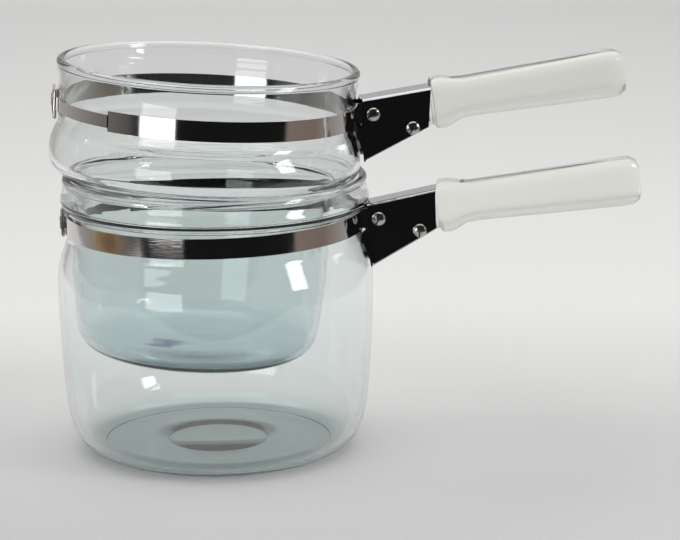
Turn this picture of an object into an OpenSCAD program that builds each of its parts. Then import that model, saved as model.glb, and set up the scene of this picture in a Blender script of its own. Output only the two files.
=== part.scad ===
// Glass double boiler: a saucepan below, an insert that sits leaning in its mouth,
// and on each a steel strap, a folded bracket and a pressed glass grip.
// Origin at the centre of the saucepan's base, +X along the saucepan's grip, +Z up.

/* [Saucepan glass] */
// Outer radius of the belly
pan_r = 76.3; // [76:0.1:80]
// Height of the widest part of the belly
pan_belly_z = 78; // [70:0.5:82]
// Radius of the flat foot
pan_foot_r = 56; // [50:0.5:58]
// Outer radius of the groove that the strap sits in
pan_neck_r = 71.2; // [71:0.1:72]
// Outer radius of the collar above the strap
pan_collar_r = 74.3; // [73.5:0.1:75.5]
// Height of the middle of the strap above the base
pan_strap_z = 112.9; // [110:0.5:116]
// Thickness of the saucepan's wall and floor
pan_wall = 2.9; // [2.4:0.1:3]
// Radius of the stamped disc under the base
stamp_r = 24; // [15:0.5:30]

/* [Insert glass] */
// Whole height of the insert
ins_h = 141.8; // [138:0.2:143]
// Outer radius of the body that hangs in the saucepan
ins_body_r = 61.2; // [59:0.1:61.3]
// Outer radius below the small step in the body
ins_low_r = 59.6; // [57:0.1:60]
// Outer radius of the bulge that rests on the saucepan
ins_bulge_r = 74.8; // [74:0.1:76]
// Outer radius of the groove that the strap sits in
ins_neck_r = 70.9; // [70:0.1:71.2]
// Depth of the middle of the strap below the rim
ins_strap_drop = 21.3; // [20.5:0.1:22]
// Thickness of the insert's wall and floor
ins_wall = 2.9; // [2.4:0.1:3.2]
// Radius of the round bead along both rims
bead_r = 2; // [1.6:0.1:2.4]

/* [Seat and pose] */
// Radius of the ball-shaped zone that the insert rests on
seat_r = 109.55; // [109:0.1:110.5]
// Height of that ball's centre above the insert's rim
seat_up = 30.65; // [30:0.1:31.5]
// Gap between the insert and the saucepan's rim
seat_gap = 0.3; // [0.2:0.05:0.6]
// Lean of the insert towards its own grip, in degrees
lean = 3.36; // [0:0.1:3.5]
// Turn of the insert's grip from the saucepan's, in degrees
turn = 9.5; // [-30:0.5:30]
// Tilt of the saucepan's strap in its groove, in degrees
strap_tilt = 0.9; // [0:0.1:1]

/* [Straps] */
// Height of a strap
strap_h = 9.55; // [8:0.05:10]
// Thickness of the strap's sheet
strap_t = 0.5; // [0.4:0.05:0.6]
// Gap between strap and glass
strap_gap = 0.2; // [0.1:0.05:0.3]
// Height of the strap end that is doubled back through the link
tongue_h = 6; // [5:0.1:8.5]
// Angle that the doubled end covers, in degrees
tongue_angle = 40; // [20:1:50]
// Radius of the link's wire
link_wire_r = 0.9; // [0.7:0.05:1.1]
// Angle from the clasp's middle to either upright of the link, in degrees
link_angle = 6; // [5:0.5:9]

/* [Brackets] */
// Overall width of a bracket
bracket_w = 16.5; // [15:0.1:18]
// Thickness of the bracket's sheet
sheet_t = 0.9; // [0.7:0.05:1.1]
// Outer radius of the two long bends
bend_r = 2; // [1.4:0.1:2.6]
// Rise of the bracket's top, in degrees
bracket_rise = 11.8; // [9:0.1:14]
// Distance from the pan's axis to the bracket's outer end
bracket_end = 106.4; // [104:0.1:109]
// Distance from the pan's axis to the bracket's upper inner corner
bracket_start = 73.7; // [73:0.1:74.5]
// Height of the top above the strap's middle, at the inner corner
bracket_top = 6.9; // [6:0.1:8]
// Depth of the lower inner corner below the strap's middle
bracket_toe = 22.3; // [20:0.1:23]
// Depth of the lower outer corner below the strap's middle
bracket_heel = 5; // [4.5:0.1:6]
// Reach of each saddle flange to the side
saddle_reach = 5; // [3:0.1:7]
// Radius of the rolled lower edge
lip_r = 0.6; // [0.5:0.05:0.8]

/* [Screws] */
// Diameter of the screw shanks
screw_d = 3.5; // [3:0.05:3.8]
// Diameter of the slotted heads
head_d = 6.6; // [6:0.1:7]
// Height of the slotted heads
head_h = 1.9; // [1.5:0.1:2.4]
// Width of the slot in a head
slot_w = 0.8; // [0.6:0.05:1.1]
// Distance across the flats of a nut
nut_af = 6.4; // [6:0.1:7.2]
// Thickness of a nut
nut_t = 2.4; // [2:0.1:3]
// Distance from the pan's axis to the clamp screw
clamp_x = 79.2; // [78.5:0.1:81]
// Distance from the pan's axis to the grip screw
grip_x = 98.8; // [98:0.1:99.5]
// Depth of the grip screw below the strap's middle
grip_drop = 6; // [5.4:0.1:6.2]
// Radial room of a shank in its holes
hole_room = 0.2; // [0.1:0.05:0.3]
// Radial room of a shank in its nut
nut_room = 0.05; // [0.02:0.01:0.1]

/* [Grips] */
// Distance from the grip screw to the grip's far end
grip_len = 107; // [95:0.5:120]
// Thickness of the grip
grip_t = 15; // [13:0.1:16.4]
// Height of the grip at its waist
waist_h = 19.3; // [18:0.1:21]
// Height of the grip at its far end
end_h = 23.3; // [20:0.1:26]
// Height of the shoulder against the bracket
shoulder_h = 25; // [23:0.1:27]
// Radius of the grip's long edges
edge_r = 3.6; // [2.5:0.1:4.5]
// Rise of the saucepan's grip, in degrees
pan_grip_rise = 6.3; // [5:0.1:11]
// Rise of the insert's grip, in degrees
ins_grip_rise = 10.6; // [6:0.1:11]
// Thickness of the fibre liner
liner_t = 0.4; // [0.3:0.05:0.5]

/* [Hidden] */
$fn = 64;
// Points that a smooth outline gets between two of its own
outline_steps = 3;
fit_gap = 0.05;
glass_color = [0.80, 0.88, 0.87, 0.5];
steel_color = "silver";
fibre_color = "dimgray";
grip_color = [0.90, 0.92, 0.88, 0.8];

// Centre of the saucepan's rim bead, which stays clear of the insert's body
pan_rim_r = pan_neck_r;
pan_rim_z = pan_strap_z + 19.84;
ins_rim_r = ins_neck_r - 0.6;
// Height of the ball's centre over the base, from the seat's own sizes
pivot_z = pan_rim_z + sqrt(pow(seat_r + bead_r + seat_gap, 2) - pow(pan_rim_r, 2));
seat_in = ins_body_r + 1.3;
seat_out = 72;
lug_y = bracket_w / 2 - sheet_t - fit_gap;
lug_end = clamp_x + 4.8;
link_h = strap_h / 2 + link_wire_r + 0.6;

// A smooth curve through a list of points
function curve(a, b, c, d, t) = 0.5 * (2 * b + (c - a) * t
    + (2 * a - 5 * b + 4 * c - d) * t * t + (3 * b - a - 3 * c + d) * t * t * t);
function smooth(p, n) = concat([for (i = [0:len(p) - 2]) for (k = [0:n - 1])
    curve(p[max(i - 1, 0)], p[i], p[i + 1], p[min(i + 2, len(p) - 1)], k / n)],
    [p[len(p) - 1]]);
// The same outline moved inwards by the wall
function side(p, i) = p[min(i + 1, len(p) - 1)] - p[max(i - 1, 0)];
function inwards(p, wall) = [for (i = [len(p) - 1:-1:1])
    let (s = side(p, i)) p[i] + wall * [-s[1], s[0]] / norm(s)];
function arc(x, y, r, from, to, n) = [for (i = [0:n])
    let (a = from + (to - from) * i / n) [x + r * cos(a), y + r * sin(a)]];
function seat_z(r) = seat_up - sqrt(seat_r * seat_r - r * r);

// Outline of the saucepan from its foot to below the rim bead
pan_outline = smooth([
    [pan_foot_r, 0], [pan_foot_r + 5.4, 1.3], [pan_r - 10.2, 4.8], [pan_r - 6.3, 10.8],
    [pan_r - 3.4, 21], [pan_r - 1.8, 38], [pan_r - 0.6, pan_belly_z - 20],
    [pan_r, pan_belly_z], [pan_r - 0.4, pan_strap_z - 23.9],
    [pan_r - 2, pan_strap_z - 17], [pan_neck_r + 1.1, pan_strap_z - 11.2],
    [pan_neck_r, pan_strap_z - 7.6], [pan_neck_r, pan_strap_z],
    [pan_neck_r, pan_strap_z + 5.8], [pan_collar_r - 1.3, pan_strap_z + 7.8],
    [pan_collar_r - 0.1, pan_strap_z + 9.8], [pan_collar_r - 0.2, pan_strap_z + 12.3],
    [pan_collar_r - 1.2, pan_strap_z + 15.2], [pan_rim_r + 1.55, pan_rim_z - 1.4]],
    outline_steps);

// Outline of the insert from its foot to below the rim bead, heights from the rim down
ins_outline = smooth(concat([
    [ins_low_r - 22, -ins_h], [ins_low_r - 13, -ins_h + 1.3],
    [ins_low_r - 6.2, -ins_h + 4.3], [ins_low_r - 2.2, -ins_h + 9.8],
    [ins_low_r - 0.6, -ins_h + 17], [ins_low_r, -119], [ins_low_r + 0.3, -116.6],
    [ins_body_r - 0.3, -113.6], [ins_body_r, -110.5], [ins_body_r, -86],
    [ins_body_r + 0.1, -67]],
    [for (i = [0:4]) let (r = seat_in + (seat_out - seat_in) * i / 4) [r, seat_z(r)]],
    [[ins_bulge_r - 0.6, -48.4], [ins_bulge_r, -43.6], [ins_bulge_r - 0.7, -38.4],
    [ins_neck_r + 1.6, -34], [ins_neck_r + 0.2, -31], [ins_neck_r, -28],
    [ins_neck_r, -20], [ins_neck_r, -12], [ins_rim_r + 1.55, -bead_r - 1.4]]),
    outline_steps);

module pot(outline, floor_z, wall, rim_r, rim_z) {
    rotate_extrude($fn = 96)
        polygon(concat([[0, floor_z]], outline,
            arc(rim_r, rim_z, bead_r, -35, 215, 12), inwards(outline, wall),
            [[outline[0][0], floor_z + wall], [0, floor_z + wall]]));
}

module ring_groove(r, w, depth) {
    rotate_extrude($fn = 96)
        polygon([[r - w, -1], [r - w, 0], [r, depth], [r + w, 0], [r + w, -1]]);
}

module pan_glass() {
    color(glass_color)
        difference() {
            pot(pan_outline, 0, pan_wall, pan_rim_r, pan_rim_z);
            ring_groove(stamp_r, 0.9, 0.5);
            ring_groove(pan_foot_r - 2.2, 0.9, 0.5);
        }
}

module ins_glass() {
    color(glass_color)
        pot(ins_outline, -ins_h, ins_wall, ins_rim_r, -bead_r);
}

// Half of a band round the neck, on the side where y has the given sign
module half_band(r, h, sign, from_x, y0) {
    intersection() {
        difference() {
            translate([0, 0, -h / 2])
                cylinder(r = r + strap_t, h = h, $fn = 128);
            translate([0, 0, -h])
                cylinder(r = r, h = 2 * h, $fn = 128);
        }
        translate([from_x, sign > 0 ? y0 : -100 - y0, -h])
            cube([200, 100, 2 * h]);
    }
}

// One strap: band, lug with its hole, and the loop round an upright of the link.
// The strap on the tongue's side narrows there and is doubled back over itself.
module strap(neck_r, sign, tongue_side) {
    r = neck_r + strap_gap;
    lug_start = sqrt(r * r - pow(lug_y - strap_t, 2));
    bar_r = r + strap_t + link_wire_r + strap_t;
    bar = [-bar_r * cos(link_angle), sign * bar_r * sin(link_angle), 0];
    loop_r = link_wire_r + fit_gap + strap_t;
    color(steel_color)
        difference() {
            union() {
                half_band(r, strap_h, sign, -100, lug_y - strap_t);
                translate([lug_start, sign > 0 ? lug_y - strap_t : -lug_y, -strap_h / 2])
                    cube([lug_end - lug_start, strap_t, strap_h]);
                translate(bar - [0, 0, tongue_h / 2])
                    cylinder(r = loop_r, h = tongue_h, $fn = 32);
                if (sign == tongue_side)
                    tongue(r + strap_t, sign);
            }
            if (sign == tongue_side)
                for (z = [tongue_h / 2, -strap_h])
                    translate([0, 0, z])
                        linear_extrude(strap_h - tongue_h / 2)
                            polygon(concat([[0, 0]], sign < 0
                                ? arc(0, 0, 150, 178, tongue_from(sign) + tongue_angle, 12)
                                : arc(0, 0, 150, tongue_from(sign), 182, 12)));
            translate(bar - [0, 0, strap_h])
                cylinder(r = link_wire_r + fit_gap, h = 2 * strap_h, $fn = 32);
            translate([clamp_x, 0, 0])
                rotate([90, 0, 0])
                    cylinder(d = screw_d + 2 * hole_room, h = 40, center = true, $fn = 32);
            translate([60, -lug_y + strap_t, -strap_h])
                cube([lug_end - 60, 2 * (lug_y - strap_t), 2 * strap_h]);
        }
}

// Angle at which the doubled end starts, counted from the grip's side
function tongue_from(sign) = sign < 0 ? 180 + link_angle : 180 - link_angle - tongue_angle;

// The doubled end of a strap, lying on the band
module tongue(r, sign) {
    a = tongue_from(sign);
    difference() {
        translate([0, 0, -tongue_h / 2])
            cylinder(r = r + strap_t, h = tongue_h, $fn = 128);
        translate([0, 0, -strap_h])
            cylinder(r = r - 0.1, h = 2 * strap_h, $fn = 128);
        translate([0, 0, -strap_h])
            linear_extrude(2 * strap_h)
                polygon(concat([[0, 0]], arc(0, 0, 150, a + tongue_angle, a + 360, 12)));
    }
}

module link(neck_r) {
    bar_r = neck_r + strap_gap + 2 * strap_t + link_wire_r;
    x = -bar_r * cos(link_angle);
    y = bar_r * sin(link_angle);
    color(steel_color)
        union() {
            for (s = [-1, 1])
                translate([x, s * y, -link_h])
                    cylinder(r = link_wire_r, h = 2 * link_h, $fn = 24);
            for (s = [-1, 1])
                translate([x, 0, s * link_h])
                    rotate([90, 0, 0])
                        cylinder(r = link_wire_r, h = 2 * y, center = true, $fn = 24);
            for (s = [-1, 1], t = [-1, 1])
                translate([x, s * y, t * link_h])
                    sphere(r = link_wire_r, $fn = 24);
        }
}

// Inner face of the saddle that follows the glass below the strap
saddle = [[72.3, -5.7], [72.5, -9.5], [73.7, -13], [75.1, -16.4], [76, -19.5],
    [76.4, -bracket_toe]];
bracket_rise_z = bracket_top + (bracket_end - bracket_start) * tan(bracket_rise);

// Flat outline of a bracket, seen from the side
side_outline = concat(
    [[bracket_start, 30], [bracket_start, saddle[0][1]]],
    [for (p = saddle) [p[0] - 0.15, p[1]]],
    [[bracket_end, -bracket_heel], [bracket_end, 30]]);

module u_section(w, r) {
    polygon(concat([[-w / 2, -60]], arc(-w / 2 + r, -r, r, 180, 90, 6),
        arc(w / 2 - r, -r, r, 90, 0, 6), [[w / 2, -60]]));
}

module folded_sheet() {
    translate([bracket_start, 0, bracket_top])
        rotate([0, -bracket_rise, 0])
            rotate([90, 0, 90])
                translate([0, 0, -20])
                    linear_extrude(80)
                        difference() {
                            u_section(bracket_w, bend_r);
                            translate([0, -sheet_t])
                                u_section(bracket_w - 2 * sheet_t, bend_r - sheet_t);
                        }
}

module bracket() {
    toe = saddle[len(saddle) - 1];
    run = bracket_end - toe[0];
    drop = bracket_toe - bracket_heel;
    color(steel_color)
        difference() {
            union() {
                intersection() {
                    folded_sheet();
                    rotate([90, 0, 0])
                        linear_extrude(bracket_w + 2, center = true)
                            polygon(side_outline);
                }
                for (s = [-1, 1])
                    translate([toe[0], s * (bracket_w / 2 - lip_r - fit_gap), toe[1]])
                        rotate([0, 90 - atan(drop / run), 0])
                            cylinder(r = lip_r, h = norm([run, drop]), $fn = 24);
                intersection() {
                    rotate_extrude($fn = 96)
                        polygon(concat(saddle, [for (i = [len(saddle) - 1:-1:0])
                            saddle[i] + [sheet_t, 0]]));
                    for (s = [-1, 1])
                        translate([40, s * (bracket_w / 2 - sheet_t / 2 + saddle_reach / 2)
                            - saddle_reach / 2 - sheet_t / 2, -40])
                            cube([60, saddle_reach + sheet_t, 80]);
                }
            }
            for (p = [[clamp_x, 0], [grip_x, -grip_drop]])
                translate([p[0], 0, p[1]])
                    rotate([90, 0, 0])
                        cylinder(d = screw_d + 2 * hole_room, h = 40, center = true, $fn = 32);
        }
}

// A slotted screw across the bracket, its slot turned by an angle
module screw(x, z, slot) {
    reach = bracket_w / 2 + nut_t + 0.6;
    color(steel_color)
        translate([x, 0, z])
            rotate([90, 0, 0])
                difference() {
                    rotate_extrude($fn = 48)
                        polygon(concat([[0, -reach], [screw_d / 2, -reach],
                            [screw_d / 2, bracket_w / 2], [head_d / 2, bracket_w / 2],
                            [head_d / 2, bracket_w / 2 + 0.5]],
                            [for (i = [1:6]) [head_d / 2 * cos(15 * i),
                                bracket_w / 2 + 0.5 + (head_h - 0.5) * sin(15 * i)]]));
                    translate([0, 0, bracket_w / 2 + head_h])
                        rotate([0, 0, slot])
                            cube([2 * head_d, slot_w, 1.7], center = true);
                }
}

module nut(x, z) {
    color(steel_color)
        translate([x, bracket_w / 2, z])
            rotate([-90, 0, 0])
                difference() {
                    cylinder(d = nut_af / cos(30), h = nut_t, $fn = 6);
                    translate([0, 0, -1])
                        cylinder(d = screw_d + 2 * nut_room, h = nut_t + 2, $fn = 32);
                }
}

// Places its children at the grip screw, along the grip
module at_grip(rise) {
    translate([grip_x, 0, -grip_drop])
        rotate([0, -rise, 0])
            children();
}

tang_back = 9;
tang_top = 14.5;
tang_low = -0.9;
// Lower edge of the liner, clear of the rolled edges
liner_low = 1.6;
tang_t = bracket_w - 2 * sheet_t - 2 * liner_t - 4 * fit_gap;
// Distance from the grip screw to the shoulder's face, clear of the bracket's end
function shoulder_at(rise) = (bracket_end - grip_x
    + (bracket_rise_z + grip_drop) * sin(rise)) / cos(rise) + 0.2;

// A block with round edges between two upright ends
module round_block(x0, low0, high0, x1, low1, high1, t, r) {
    hull()
        for (s = [-1, 1])
            for (p = [[x0 + r, low0 + r], [x0 + r, high0 - r],
                [x1 - r, low1 + r], [x1 - r, high1 - r]])
                translate([p[0], s * (t / 2 - r), p[1]])
                    sphere(r = r, $fn = 24);
}

module grip(rise) {
    low = -3.2;
    shoulder_x = shoulder_at(rise);
    color(grip_color)
        at_grip(rise)
            difference() {
                union() {
                    round_block(shoulder_x, low, low + shoulder_h, shoulder_x + 8,
                        low, low + shoulder_h, grip_t, 3);
                    round_block(shoulder_x + 0.6, low + 1.2, low + shoulder_h - 0.5,
                        shoulder_x + 17, 0.5, 0.5 + waist_h, grip_t, edge_r);
                    round_block(shoulder_x + 9, 0.5, 0.5 + waist_h, grip_len,
                        -1.1, -1.1 + end_h, grip_t, edge_r);
                    translate([-tang_back, -tang_t / 2, tang_low])
                        cube([tang_back + shoulder_x + 4, tang_t, tang_top - tang_low]);
                }
                rotate([90, 0, 0])
                    cylinder(d = screw_d + 2 * hole_room, h = 40, center = true, $fn = 32);
            }
}

// The fibre strip folded over the tang
module grip_liner(rise) {
    w = tang_t + 2 * liner_t + 2 * fit_gap;
    shoulder_x = shoulder_at(rise);
    color(fibre_color)
        at_grip(rise)
            difference() {
                translate([-tang_back, -w / 2, liner_low])
                    cube([tang_back + shoulder_x - 2.8, w,
                        tang_top + fit_gap + liner_t - liner_low]);
                translate([-tang_back - 1, -tang_t / 2 - fit_gap, tang_low - 1])
                    cube([tang_back + shoulder_x, tang_t + 2 * fit_gap,
                        tang_top + fit_gap - tang_low + 1]);
                rotate([90, 0, 0])
                    cylinder(d = screw_d + 2 * hole_room, h = 40, center = true, $fn = 32);
            }
}

// Places its children at the middle of the saucepan's strap
module on_pan() {
    translate([0, 0, pan_strap_z])
        rotate([0, -strap_tilt, 0])
            children();
}

// Places its children in the leaning insert, heights from its rim down
module in_insert() {
    rotate([0, 0, turn])
        translate([0, 0, pivot_z])
            rotate([0, lean, 0])
                translate([0, 0, -seat_up])
                    children();
}

module on_insert() {
    in_insert()
        translate([0, 0, -ins_strap_drop])
            children();
}

module saucepan_glass() { pan_glass(); }
module saucepan_front_strap() { on_pan() strap(pan_neck_r, -1, 1); }
module saucepan_back_strap() { on_pan() strap(pan_neck_r, 1, 1); }
module saucepan_strap_link() { on_pan() link(pan_neck_r); }
module saucepan_bracket() { on_pan() bracket(); }
module saucepan_grip() { on_pan() grip(pan_grip_rise); }
module saucepan_grip_liner() { on_pan() grip_liner(pan_grip_rise); }
module saucepan_clamp_screw() { on_pan() screw(clamp_x, 0, 62); }
module saucepan_clamp_nut() { on_pan() nut(clamp_x, 0); }
module saucepan_grip_screw() { on_pan() screw(grip_x, -grip_drop, 84); }
module saucepan_grip_nut() { on_pan() nut(grip_x, -grip_drop); }
module insert_glass() { in_insert() ins_glass(); }
module insert_front_strap() { on_insert() strap(ins_neck_r, -1, -1); }
module insert_back_strap() { on_insert() strap(ins_neck_r, 1, -1); }
module insert_strap_link() { on_insert() link(ins_neck_r); }
module insert_bracket() { on_insert() bracket(); }
module insert_grip() { on_insert() grip(ins_grip_rise); }
module insert_grip_liner() { on_insert() grip_liner(ins_grip_rise); }
module insert_clamp_screw() { on_insert() screw(clamp_x, 0, 30); }
module insert_clamp_nut() { on_insert() nut(clamp_x, 0); }
module insert_grip_screw() { on_insert() screw(grip_x, -grip_drop, 58); }
module insert_grip_nut() { on_insert() nut(grip_x, -grip_drop); }

saucepan_glass();
saucepan_front_strap();
saucepan_back_strap();
saucepan_strap_link();
saucepan_bracket();
saucepan_grip();
saucepan_grip_liner();
saucepan_clamp_screw();
saucepan_clamp_nut();
saucepan_grip_screw();
saucepan_grip_nut();
insert_glass();
insert_front_strap();
insert_back_strap();
insert_strap_link();
insert_bracket();
insert_grip();
insert_grip_liner();
insert_clamp_screw();
insert_clamp_nut();
insert_grip_screw();
insert_grip_nut();
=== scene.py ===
"""Looks of a glass double boiler: two glass pots, their steel straps and brackets, and glass grips."""
import math

import bpy
import numpy as np
from mathutils import Matrix, Vector


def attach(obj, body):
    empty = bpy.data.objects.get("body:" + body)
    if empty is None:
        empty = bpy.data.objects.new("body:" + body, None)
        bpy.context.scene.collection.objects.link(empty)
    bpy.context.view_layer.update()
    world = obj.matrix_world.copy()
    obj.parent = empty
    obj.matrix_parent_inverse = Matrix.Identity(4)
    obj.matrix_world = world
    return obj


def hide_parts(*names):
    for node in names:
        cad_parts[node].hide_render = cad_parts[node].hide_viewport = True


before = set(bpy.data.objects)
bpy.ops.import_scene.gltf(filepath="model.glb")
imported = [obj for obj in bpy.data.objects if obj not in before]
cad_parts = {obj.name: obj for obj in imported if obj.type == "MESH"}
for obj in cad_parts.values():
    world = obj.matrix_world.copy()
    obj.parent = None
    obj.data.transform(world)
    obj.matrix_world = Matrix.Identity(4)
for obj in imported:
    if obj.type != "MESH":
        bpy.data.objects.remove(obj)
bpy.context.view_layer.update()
MM = 0.001

# Sizes and places of the glass, in millimetres and radians, as the solids have them
GLASS_WALL = 2.9
PAN_R, PAN_NECK_R, PAN_COLLAR_R = 76.3, 71.2, 74.3
PAN_RIM_R, PAN_RIM_Z = 71.2, 132.74
PAN_RINGS = (24, 54.9)
INS_H, INS_LOW_R, INS_BODY_R, INS_BULGE_R, INS_NECK_R = 141.8, 59.6, 61.2, 74.8, 70.9
INS_RIM_R = INS_NECK_R - 0.6
BEAD_R, BEAD_DEGREES, BEAD_OUT, BEAD_DOWN = 2.0, (-35, 215), 1.55, 1.4
SEAT_R, SEAT_UP, SEAT_GAP = 109.55, 30.65, 0.3
LEAN, TURN, STRAP_TILT = math.radians(3.36), math.radians(9.5), math.radians(0.9)
PAN_STRAP_Z, INS_STRAP_DROP = 112.9, 21.3
PIVOT_Z = PAN_RIM_Z + math.sqrt((SEAT_R + BEAD_R + SEAT_GAP) ** 2 - PAN_RIM_R ** 2)
GRIP_X, GRIP_DROP = 98.8, 6.0
PAN_GRIP_RISE, INS_GRIP_RISE = math.radians(6.3), math.radians(10.6)
INS_SHOULDER_SHIFT = 1.6
SHIFT_PLACES, SHIFT_SHARES = (0, 8.6, 22, 33), (0, 1, 1, 0)

# Across a shallow ring in the saucepan's foot: distance from its middle, and how far it rises
GROOVE = ((-0.9, 0), (-0.7, 0.03), (-0.45, 0.09), (0, 0.12), (0.45, 0.09), (0.7, 0.03), (0.9, 0))

# A grip from its tang to its tip: place along it, low edge, high edge and thickness
GRIP_STATIONS = (
    (-9, -0.9, 15.3, 13.4), (-8.8, -0.9, 15.3, 13.4), (0, -0.9, 15.3, 13.4), (8.6, -0.9, 15.3, 13.4),
    (9.2, -0.9, 15.3, 13.4), (9.9, -1.6, 19.5, 13.6), (10.6, -2.7, 21.2, 14.6), (12, -3.2, 21.8, 15),
    (15, -3.2, 21.8, 15), (18, -2.2, 21.3, 15), (22, -0.1, 20.2, 15), (27, 0.5, 19.8, 15),
    (33, 0.5, 19.9, 15), (50, 0.1, 20.4, 15), (75, -0.5, 21.2, 15), (98, -1.0, 22.0, 14.8),
    (103, -0.6, 21.7, 14.2), (106, 1.3, 20.0, 11.5), (107, 4.5, 17.0, 7))
GRIP_POWER = 5
GRIP_BODY_START, GRIP_BODY_END = 10, 106

# How finely the meshes are made
AROUND_POT, AROUND_GRIP, ALONG_GRIP, CURVE_STEPS, BEAD_STEPS = 192, 72, 120, 6, 20

# Turn of the photograph's own directions from the frame's, and its camera
VIEW_TURN = math.radians(5)
CAMERA_AWAY, CAMERA_UP = 1.300, 0.3864
CAMERA_YAW, CAMERA_PITCH, CAMERA_ROLL = math.radians(2.65), math.radians(13.01), math.radians(0.3)
FOCAL_PX, PICTURE_W = 2750, 680

# Each noise is its scale, its detail and, where it has one, its stretch along x, y and z.
# Dust in the glass and the ripples left by blowing it
DUST_NOISE, DUST_RARITY, DUST_ROUGH = (900, 2), 0.71, 0.05
RIPPLE_NOISE, RIPPLE_STRENGTH, RIPPLE_DEPTH = (34, 1, (1, 1, 0.35)), 0.02, 0.002

# Films low in the two pots: how fast the tone changes with height, where it starts, and its tones
INSERT_FILM = (10, -0.4, [(0.10, (0.70, 0.79, 0.82, 1)), (0.20, (0.86, 0.915, 0.925, 1)),
                         (0.62, (0.88, 0.925, 0.925, 1)), (0.75, (0.945, 0.966, 0.963, 1))])
PAN_FILM = (50, 0.0, [(0.10, (0.80, 0.925, 0.915, 1)), (0.5, (0.93, 0.965, 0.96, 1))])

# Smear low in the insert: its place, how far it is full and where it ends, its ragged edge and its tone
SMEAR_SPOT, SMEAR_FULL, SMEAR_END = (-0.0255, -0.001, 0.051), 0.019, 0.027
SMEAR_NOISE, SMEAR_RAGGED = (110, 3, (1, 2.4, 1)), 0.034
SMEAR_TONE = (0.13, 0.18, 0.32, 1)

# Rubbed lines and wear on the steel, and heat colours that fade away from one spot on the saucepan's strap
LINE_DETAIL, LINE_STRETCH, LINE_ROUGH, LINE_STRENGTH, LINE_DEPTH = 4, (1, 1, 14), 0.05, 0.04, 0.0002
WEAR_NOISE, WEAR_ROUGH, WORN_TONE = (60, 5), 0.04, 0.82
HEAT_SPOT, HEAT_RATE = (-0.0455, -0.0542, 0.113), 55
HEAT_NOISE, HEAT_RAGGED = (220, 2, (1, 1, 0.2)), 0.5
HEAT = [(0.0, (0.42, 0.36, 0.42, 1)), (0.2, (0.62, 0.38, 0.20, 1)), (0.45, (0.74, 0.60, 0.40, 1)),
        (0.8, (0.62, 0.60, 0.59, 1))]

# Grain of the fibre liners
GRAIN_NOISE, GRAIN_STRENGTH, GRAIN_DEPTH = (700, 5), 0.6, 0.0003
GRAIN_TONES = [(0.3, (0.13, 0.12, 0.1, 1)), (0.7, (0.33, 0.31, 0.27, 1))]

# The card: its tones and its own glow from near to far, painted shade and painted light that leave it darker
# at the front and under the object and lighter at the back; how far mirrored and bent rays see it; and the
# light that the glass lets through to it, from nothing at the edge to full at the heart
CARD_RATE, CARD_START = 0.5, 0.1
CARD_PAINTED_SHADE_TONES = [(0.0, (0.50, 0.50, 0.50, 1)), (0.10, (0.54, 0.535, 0.535, 1)), (0.14, (0.60, 0.595, 0.59, 1)),
              (0.24, (0.73, 0.725, 0.715, 1)), (0.6, (0.70, 0.695, 0.69, 1))]
CARD_GLOW = [(0.5, (0, 0, 0, 1)), (0.9, (0.03, 0.03, 0.03, 1))]
CARD_FRONT, CARD_SIDE = 0.30, 0.45
PASSED_LIGHT, PASSED_EDGE, PASSED_HEART = 0.14, 0.20, 0.05

# The air round the card, and the room on either side, from the camera's side to the back
PALE_AIR = (0.66, 0.66, 0.66, 1)
ROOM_RIGHT = [(0.262, (0.010, 0.010, 0.010, 1)), (0.285, (0.27, 0.22, 0.20, 1)), (0.5, (0.25, 0.20, 0.17, 1)),
              (0.85, (0.5, 0.49, 0.48, 1))]
ROOM_LEFT = [(0.2, (0.010, 0.010, 0.010, 1)), (0.27, (0.13, 0.125, 0.12, 1)), (0.5, (0.24, 0.23, 0.22, 1)),
             (0.85, (0.45, 0.44, 0.43, 1))]

# Each lamp: azimuth from the camera's side, height, distance, width and height of its face, and power
LAMPS = {
    "left box": (-37, 0.11, 1.1, (0.52, 0.42), 2.0),
    "right box": (62, 0.42, 1.1, (0.24, 0.42), 3),
    "top box": (180, 1.8, 0.15, (2.4, 2.0), 23),
}
LAMP_AIM = (0, 0, 0.15)

# The finish of a solid goes by the first of these words that its name holds
FINISH_WORDS = {"strap": "strap", "bracket": "bracket", "screw": "screw", "nut": "screw", "liner": "fibre",
                "glass": "pan", "grip": "grip"}


def smooth(points):
    """Catmull-Rom curve: each stretch is a cubic blend of four neighbouring points."""
    p = np.array(points, float)
    p = np.vstack([p[:1], p, p[-1:]])
    t = np.arange(CURVE_STEPS)[:, None] / CURVE_STEPS
    runs = [0.5 * (2 * b + (c - a) * t + (2 * a - 5 * b + 4 * c - d) * t ** 2
                   + (3 * b - a - 3 * c + d) * t ** 3)
            for a, b, c, d in zip(p[:-3], p[1:-2], p[2:-1], p[3:])]
    return np.vstack(runs + [p[-1:]])


def inwards(outline, wall):
    """The outline moved along its inner normal by the wall, listed from the top down."""
    side = np.gradient(outline, axis=0)
    normal = np.stack([-side[:, 1], side[:, 0]], 1) / np.linalg.norm(side, axis=1)[:, None]
    return (outline + wall * normal)[:0:-1]


def bead(x, y):
    """The round of a rolled rim: x + r cos a, y + r sin a, from low outside over the top to low inside."""
    a = np.radians(np.linspace(*BEAD_DEGREES, BEAD_STEPS + 1))
    return np.stack([x + BEAD_R * np.cos(a), y + BEAD_R * np.sin(a)], 1)


def closed_profile(outline, floor_z, rim_r, rim_z, rings=()):
    """Axis to axis: under the foot, up the outside, over the bead, down the inside and across the floor."""
    foot = outline[0, 0]
    under = [[0.0, floor_z]] + [[r + dr, floor_z + dz] for r in rings for dr, dz in GROOVE]
    floor = [[foot * k, floor_z + GLASS_WALL] for k in (0.96, 0.75, 0.5, 0.25, 0.0)]
    return np.vstack([under, outline, bead(rim_r, rim_z), inwards(outline, GLASS_WALL), floor])


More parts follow.
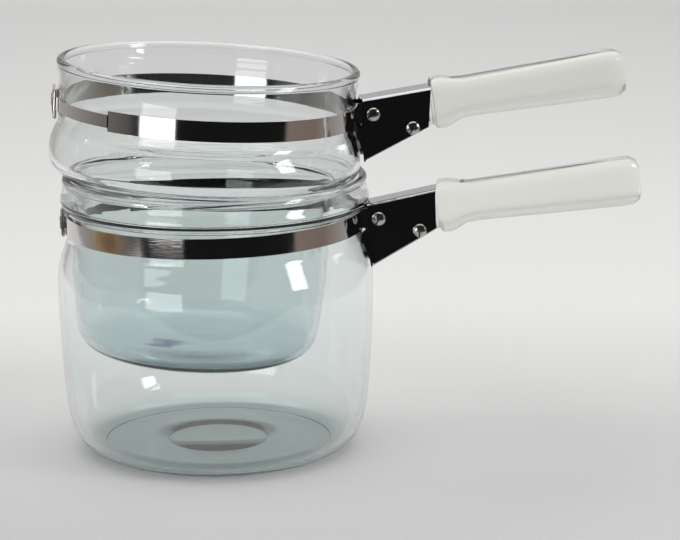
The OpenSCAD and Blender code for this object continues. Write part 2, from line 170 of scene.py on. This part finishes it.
def mesh_object(name, verts, faces):
    """A smooth-shaded object at the origin; the faces are four corners each, with triangles at poles."""
    mesh = bpy.data.meshes.new(name)
    mesh.from_pydata([tuple(v) for v in verts], [], [tuple(dict.fromkeys(f)) for f in faces])
    mesh.polygons.foreach_set("use_smooth", [True] * len(mesh.polygons))
    mesh.validate()
    obj = bpy.data.objects.new(name, mesh)
    bpy.context.collection.objects.link(obj)
    return obj


def closed_skin(name, rings, poles, place):
    """A closed surface over equal rings of points, one after another, with a pole beyond each end."""
    count, around = rings.shape[:2]
    m = np.array(place)
    verts = np.vstack([rings.reshape(-1, 3), poles])
    verts = (verts @ m[:3, :3].T + m[:3, 3]) * MM
    here = np.arange(count * around).reshape(count, around)
    beside = np.roll(here, -1, axis=1)
    quads = np.stack([here[:-1], beside[:-1], beside[1:], here[1:]], -1).reshape(-1, 4)
    pole, other_pole = (np.full(around, count * around + end) for end in (0, 1))
    first = np.stack([pole, beside[0], here[0], here[0]], -1)
    last = np.stack([other_pole, here[-1], beside[-1], beside[-1]], -1)
    return mesh_object(name, verts, np.vstack([quads, first, last]).tolist())


def turned(name, profile, place):
    """Surface of revolution: x = r cos a, y = r sin a, z = profile height; both ends are on the axis."""
    a = np.linspace(0, 2 * np.pi, AROUND_POT, endpoint=False)
    r, z = profile[1:-1, :1], profile[1:-1, 1:]
    rings = np.stack(np.broadcast_arrays(r * np.cos(a), r * np.sin(a), z), -1)
    return closed_skin(name, rings, [[0, 0, profile[0, 1]], [0, 0, profile[-1, 1]]], place)


def pressed_grip(name, rise, place, shift):
    """A bar along x: each section is a rounded rectangle, a superellipse, whose low and high edges and
    thickness follow the stations; the shift moves its shoulder outwards and leaves both ends."""
    along, low, high, thick = np.array(GRIP_STATIONS, float).T
    along = along + shift * np.interp(along, SHIFT_PLACES, SHIFT_SHARES)
    body = np.linspace(GRIP_BODY_START + shift, GRIP_BODY_END, ALONG_GRIP)
    x = np.unique(np.concatenate([along, body]))
    low, high, thick = (np.interp(x, along, v) for v in (low, high, thick))
    middle, half = (low + high) / 2, (high - low) / 2
    a = np.linspace(0, 2 * np.pi, AROUND_GRIP, endpoint=False)
    across, up = (np.sign(v) * np.abs(v) ** (2 / GRIP_POWER) for v in (np.cos(a), np.sin(a)))
    rings = np.stack(np.broadcast_arrays(x[:, None], thick[:, None] / 2 * across,
                                         middle[:, None] + half[:, None] * up), -1)
    at_grip = place @ Matrix.Translation((GRIP_X, 0, -GRIP_DROP)) @ Matrix.Rotation(-rise, 4, "Y")
    return closed_skin(name, rings, [[x[0], 0, middle[0]], [x[-1] + 0.1, 0, middle[-1]]], at_grip)


def in_insert():
    """The leaning insert's own place, with its rim at zero height."""
    return (Matrix.Rotation(TURN, 4, "Z") @ Matrix.Translation((0, 0, PIVOT_Z))
            @ Matrix.Rotation(LEAN, 4, "Y") @ Matrix.Translation((0, 0, -SEAT_UP)))


def on_pan():
    """The place of the saucepan's strap and grip."""
    return Matrix.Translation((0, 0, PAN_STRAP_Z)) @ Matrix.Rotation(-STRAP_TILT, 4, "Y")


def on_insert():
    """The place of the insert's strap and grip."""
    return in_insert() @ Matrix.Translation((0, 0, -INS_STRAP_DROP))


def pan_outline():
    """The saucepan's outside from its foot over the belly, the strap's groove and the collar to the rim."""
    r, neck, collar, z = PAN_R, PAN_NECK_R, PAN_COLLAR_R, PAN_STRAP_Z
    return smooth([[56, 0], [61.4, 1.3], [r - 10.2, 4.8], [r - 6.3, 10.8], [r - 3.4, 21], [r - 1.8, 38],
                   [r - 0.6, 58], [r, 78], [r - 0.4, z - 23.9], [r - 2, z - 17], [neck + 1.1, z - 11.2],
                   [neck, z - 7.6], [neck, z], [neck, z + 5.8], [collar - 1.3, z + 7.8],
                   [collar - 0.1, z + 9.8], [collar - 0.2, z + 12.3], [collar - 1.2, z + 15.2],
                   [PAN_RIM_R + BEAD_OUT, PAN_RIM_Z - BEAD_DOWN]])


def insert_outline():
    """The insert's outside from its foot up the body, over the round seat and the bulge to the rim."""
    low, body, neck, bulge = INS_LOW_R, INS_BODY_R, INS_NECK_R, INS_BULGE_R
    seat = [[r, SEAT_UP - math.sqrt(SEAT_R ** 2 - r * r)] for r in np.linspace(body + 1.3, 72, 5)]
    return smooth([[low - 22, -INS_H], [low - 13, -INS_H + 1.3], [low - 6.2, -INS_H + 4.3],
                   [low - 2.2, -INS_H + 9.8], [low - 0.6, -INS_H + 17], [low - 0.1, -121],
                   [low + 0.4, -115.5], [body - 0.4, -107.5], [body - 0.1, -102], [body, -86],
                   [body + 0.1, -67]] + seat
                  + [[bulge - 0.6, -48.4], [bulge, -43.6], [bulge - 0.7, -38.4], [neck + 1.6, -34],
                     [neck + 0.2, -31], [neck, -28], [neck, -20], [neck, -12],
                     [INS_RIM_R + BEAD_OUT, -BEAD_R - BEAD_DOWN]])


class Socket:
    """A shader value that can be added, multiplied and so on, each time with its own Math node."""

    def __init__(self, tree, link):
        self.tree, self.link = tree, link

    def __add__(self, other):
        return self.tree.math("ADD", self, other)

    def __sub__(self, other):
        return self.tree.math("SUBTRACT", self, other)

    def __mul__(self, other):
        return self.tree.math("MULTIPLY", self, other)

    def __gt__(self, other):
        return self.tree.math("GREATER_THAN", self, other)


class Nodes:
    """The nodes of a material or of the world, with one method that makes any node."""

    def __init__(self, node_tree):
        self.nodes, self.links = node_tree.nodes, node_tree.links

    def put(self, socket, value):
        """A link to the socket, or its plain value."""
        if isinstance(value, Socket):
            self.links.new(value.link, socket)
        else:
            socket.default_value = value

    def node(self, kind, settings, inputs, output=None):
        """A new node with its settings and inputs; gives one output, or a list of all."""
        made = self.nodes.new(kind)
        for key, value in settings.items():
            setattr(made, key, value)
        for key, value in inputs.items():
            self.put(made.inputs[key], value)
        if output is not None:
            return Socket(self, made.outputs[output])
        return [Socket(self, o) for o in made.outputs]

    def math(self, operation, a, b):
        return self.node("ShaderNodeMath", {"operation": operation}, {0: a, 1: b}, 0)

    def vector(self, operation, inputs, output="Vector"):
        return self.node("ShaderNodeVectorMath", {"operation": operation}, inputs, output)

    def parts(self, vector):
        """The x, y and z of a vector."""
        return self.node("ShaderNodeSeparateXYZ", {}, {"Vector": vector})

    def mix(self, share, first, second):
        """From the first colour to the second as the share goes from zero to one."""
        return self.node("ShaderNodeMix", {"data_type": "RGBA"}, {0: share, 6: first, 7: second}, 2)

    def ramp(self, share, stops):
        """The colour at the share in a list of places and colours."""
        made = self.nodes.new("ShaderNodeValToRGB")
        elements = made.color_ramp.elements
        while len(elements) < len(stops):
            elements.new(1)
        for element, (place, color) in zip(elements, stops):
            element.position = place
            element.color = color
        self.put(made.inputs["Fac"], share)
        return Socket(self, made.outputs["Color"])

    def fade(self, value, end, full, top=1.0):
        """Nothing where the value is at the end, growing softly to the top where it is at full."""
        return self.node("ShaderNodeMapRange", {"interpolation_type": "SMOOTHSTEP"},
                         {"Value": value, "From Min": end, "From Max": full, "To Max": top}, "Result")

    def ray(self, kind):
        """One for rays of the kind, zero for others."""
        return self.node("ShaderNodeLightPath", {}, {}, "Is " + kind + " Ray")


class Finish(Nodes):
    """A material under construction."""

    def __init__(self, name):
        self.material = bpy.data.materials.new(name)
        self.material.use_nodes = True
        super().__init__(self.material.node_tree)
        self.shader = self.nodes["Principled BSDF"]
        self.coords = self.node("ShaderNodeTexCoord", {}, {}, "Object")

    def set(self, **values):
        """Inputs of the shader, each under its own name with underscores for spaces."""
        for key, value in values.items():
            self.put(self.shader.inputs[key.replace("_", " ")], value)

    def noise(self, scale, detail, stretch=(1, 1, 1)):
        spot = self.node("ShaderNodeMapping", {}, {"Vector": self.coords, "Scale": stretch}, "Vector")
        return self.node("ShaderNodeTexNoise", {}, {"Vector": spot, "Scale": scale, "Detail": detail}, 0)

    def distance(self, spot):
        return self.vector("DISTANCE", {0: self.coords, 1: spot}, "Value")

    def bump(self, height, strength, depth):
        return self.node("ShaderNodeBump", {}, {"Height": height, "Strength": strength, "Distance": depth},
                         "Normal")


def clear_glass(name, rough, tone=None, film=None, smeared=False):
    """Polished glass with faint dust in its roughness and slow ripples; a film or a plain tone colours it."""
    f = Finish(name)
    dust = f.noise(*DUST_NOISE) > DUST_RARITY
    if film:
        _, _, height = f.parts(f.coords)
        rate, start, stops = film
        tone = f.ramp(height * rate + start, stops)
    if smeared:
        ragged = f.distance(SMEAR_SPOT) + f.noise(*SMEAR_NOISE) * SMEAR_RAGGED
        tone = f.mix(f.fade(ragged, SMEAR_END, SMEAR_FULL), tone, SMEAR_TONE)
    ripple = f.noise(*RIPPLE_NOISE)
    f.set(Base_Color=tone, Transmission_Weight=1.0, IOR=1.46, Roughness=dust * DUST_ROUGH + rough,
          Normal=f.bump(ripple, RIPPLE_STRENGTH, RIPPLE_DEPTH))
    return f.material


def polished_steel(name, rough, line_scale, color=None, heat=None):
    """Mirror-like steel with rubbed lines and wear; heat colours or one plain colour give its tone."""
    f = Finish(name)
    lines = f.noise(line_scale, LINE_DETAIL, LINE_STRETCH)
    wear = f.noise(*WEAR_NOISE)
    if heat:
        ragged = f.distance(HEAT_SPOT) * HEAT_RATE + f.noise(*HEAT_NOISE) * HEAT_RAGGED
        tone = f.ramp(ragged - HEAT_RAGGED / 2, heat)
    else:
        tone = f.mix(wear, (*color, 1), (*[c * WORN_TONE for c in color], 1))
    f.set(Base_Color=tone, Metallic=1.0, Roughness=lines * LINE_ROUGH + wear * WEAR_ROUGH + rough,
          Normal=f.bump(lines, LINE_STRENGTH, LINE_DEPTH))
    return f.material


def pressed_fibre(name):
    """Dull board with a fine grain."""
    f = Finish(name)
    grain = f.noise(*GRAIN_NOISE)
    f.set(Base_Color=f.ramp(grain, GRAIN_TONES), Roughness=0.9,
          Normal=f.bump(grain, GRAIN_STRENGTH, GRAIN_DEPTH))
    return f.material


MATERIALS = {
    "pan": clear_glass("saucepan glass", rough=0.0, film=PAN_FILM),
    "insert": clear_glass("insert glass", rough=0.005, film=INSERT_FILM, smeared=True),
    "grip": clear_glass("grip glass", rough=0.03, tone=(0.93, 0.955, 0.90, 1)),
    "strap": polished_steel("strap steel", rough=0.03, line_scale=160, heat=HEAT),
    "bracket": polished_steel("bracket steel", rough=0.03, line_scale=120, color=(0.5, 0.5, 0.52)),
    "screw": polished_steel("screw steel", rough=0.15, line_scale=300, color=(0.62, 0.6, 0.57)),
    "fibre": pressed_fibre("pressed fibre"),
}


def dress(obj, key):
    """The object wears one material and no other."""
    obj.data.materials.clear()
    obj.data.materials.append(MATERIALS[key])


def cad_finishes():
    """Each solid gets the finish of the first word that its name holds."""
    for name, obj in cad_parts.items():
        word = next(w for w in FINISH_WORDS if w in name)
        dress(obj, FINISH_WORDS[word])


def finish_piece(obj, body, node, key):
    """A fine mesh in place of a solid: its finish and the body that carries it."""
    dress(obj, key)
    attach(obj, body)
    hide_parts(node)


def pots():
    """The two blown pots; the saucepan has shallow rings in its foot."""
    pan = closed_profile(pan_outline(), 0, PAN_RIM_R, PAN_RIM_Z, PAN_RINGS)
    insert = closed_profile(insert_outline(), -INS_H, INS_RIM_R, -BEAD_R)
    for body, profile, place, key in (("saucepan", pan, Matrix.Identity(4), "pan"),
                                      ("insert", insert, in_insert(), "insert")):
        obj = turned(body + "_glass_blown", profile, place)
        finish_piece(obj, body, body + "_glass", key)


def grips():
    """The two pressed grips, each rising outwards from its bracket."""
    for body, rise, place, shift in (("saucepan", PAN_GRIP_RISE, on_pan(), 0),
                                     ("insert", INS_GRIP_RISE, on_insert(), INS_SHOULDER_SHIFT)):
        obj = pressed_grip(body + "_grip_pressed", rise, place, shift)
        finish_piece(obj, body, body + "_grip", "grip")


def card_finish():
    """Pale card with painted shade and glow, darker at the front and lighter at the back; rays from steel and
    glass pass it beyond its near part.
    """
    f = Finish("pale card")
    across, depth, _ = f.parts(f.coords)
    away = depth * CARD_RATE + CARD_START
    seen = f.math("MINIMUM", f.ray("Camera") + f.ray("Glossy") + f.ray("Transmission"), 1.0)
    reach = f.vector("LENGTH", {0: f.coords}, "Value")
    passed = f.fade(reach, PASSED_EDGE, PASSED_HEART, PASSED_LIGHT)
    glow = f.vector("ADD", {0: f.ramp(away, CARD_GLOW), 1: passed})
    glow = f.vector("SCALE", {0: glow, "Scale": seen})
    # Painted shade and light: the card's colour and glow follow its depth, darker at the front and under the
    # object.
    f.set(Base_Color=f.ramp(away, CARD_PAINTED_SHADE_TONES), Roughness=0.65, Emission_Color=glow, Emission_Strength=1.0)
    outside = f.math("MAXIMUM", depth * -1 > CARD_FRONT, f.math("ABSOLUTE", across, 0.0) > CARD_SIDE)
    clear = f.node("ShaderNodeBsdfTransparent", {}, {}, "BSDF")
    mixed = f.node("ShaderNodeMixShader", {},
                   {0: outside * f.ray("Glossy"), 1: Socket(f, f.shader.outputs[0]), 2: clear}, "Shader")
    f.put(f.nodes["Material Output"].inputs["Surface"], mixed)
    return f.material


def stage():
    """A pale floor just under the foot that rises into a backdrop in one smooth sweep."""
    far, turn, high, near, wide, gap, steps = 1.6, 0.5, 2.4, -1.6, 6.0, 0.0002, 24
    a = np.linspace(0, np.pi / 2, steps)
    sweep = np.stack([far + turn * np.sin(a), turn - turn * np.cos(a)], 1)
    path = np.vstack([[[near, 0], [far, 0]], sweep, [[far + turn, high]]])
    verts = [(x, y, z) for y, z in path for x in (-wide / 2, wide / 2)]
    faces = [(2 * i, 2 * i + 1, 2 * i + 3, 2 * i + 2) for i in range(len(path) - 1)]
    floor = mesh_object("floor", verts, faces)
    floor.matrix_world = Matrix.Rotation(VIEW_TURN, 4, "Z") @ Matrix.Translation((0, 0, -gap))
    floor.data.materials.append(card_finish())


def softbox(name, spot, size, power):
    """A flat lamp at the spot that faces the middle of the object."""
    lamp = bpy.data.lights.new(name, "AREA")
    lamp.shape = "RECTANGLE"
    lamp.size, lamp.size_y = size
    lamp.energy = power
    obj = bpy.data.objects.new(name, lamp)
    obj.location = spot
    obj.rotation_euler = (Vector(LAMP_AIM) - spot).to_track_quat("-Z", "Y").to_euler()
    bpy.context.collection.objects.link(obj)


def from_camera(azimuth, height, away):
    """A place in the photograph's directions: azimuth from the camera's side, positive to its right."""
    a = math.radians(azimuth)
    spot = Vector((away * math.sin(a), -away * math.cos(a), height))
    return Matrix.Rotation(VIEW_TURN, 4, "Z") @ spot


def lights():
    """The softboxes round the object."""
    for name, (azimuth, height, away, size, power) in LAMPS.items():
        softbox(name, from_camera(azimuth, height, away), size, power)


def room():
    """Pale light all round; rays from steel and glass see a dark room in front with paler sides."""
    world = bpy.data.worlds.new("studio")
    bpy.context.scene.world = world
    world.use_nodes = True
    w = Nodes(world.node_tree)
    ahead = w.node("ShaderNodeTexCoord", {}, {}, "Generated")
    ahead = w.node("ShaderNodeVectorRotate", {"rotation_type": "Z_AXIS"},
                   {"Vector": ahead, "Angle": -VIEW_TURN}, "Vector")
    x, y, _ = w.parts(ahead)
    back = y * 0.5 + 0.5
    walls = w.mix(x > 0, w.ramp(back, ROOM_LEFT), w.ramp(back, ROOM_RIGHT))
    w.put(w.nodes["Background"].inputs["Color"], w.mix(w.ray("Glossy"), PALE_AIR, walls))
    w.put(w.nodes["Background"].inputs["Strength"], 1.0)


def camera():
    """The photograph's camera, from its distance, height and three turns."""
    cy, sy = math.cos(CAMERA_YAW), math.sin(CAMERA_YAW)
    cp, sp = math.cos(CAMERA_PITCH), math.sin(CAMERA_PITCH)
    cr, sr = math.cos(CAMERA_ROLL), math.sin(CAMERA_ROLL)
    ahead = Vector((sy * cp, cy * cp, -sp))
    right = Vector((cy, -sy, 0))
    down = ahead.cross(right)
    across = cr * right + sr * down
    below = -sr * right + cr * down
    axes = Matrix((across, -below, -ahead)).transposed().to_4x4()
    data = bpy.data.cameras.new("camera")
    data.sensor_width = 36
    data.lens = FOCAL_PX * data.sensor_width / PICTURE_W
    obj = bpy.data.objects.new("camera", data)
    obj.matrix_world = (Matrix.Rotation(VIEW_TURN, 4, "Z")
                        @ Matrix.Translation((0, -CAMERA_AWAY, CAMERA_UP)) @ axes)
    bpy.context.collection.objects.link(obj)
    bpy.context.scene.camera = obj


camera()
cad_finishes()
pots()
grips()
stage()
lights()
room()
bpy.context.scene.view_settings.view_transform = "Standard"
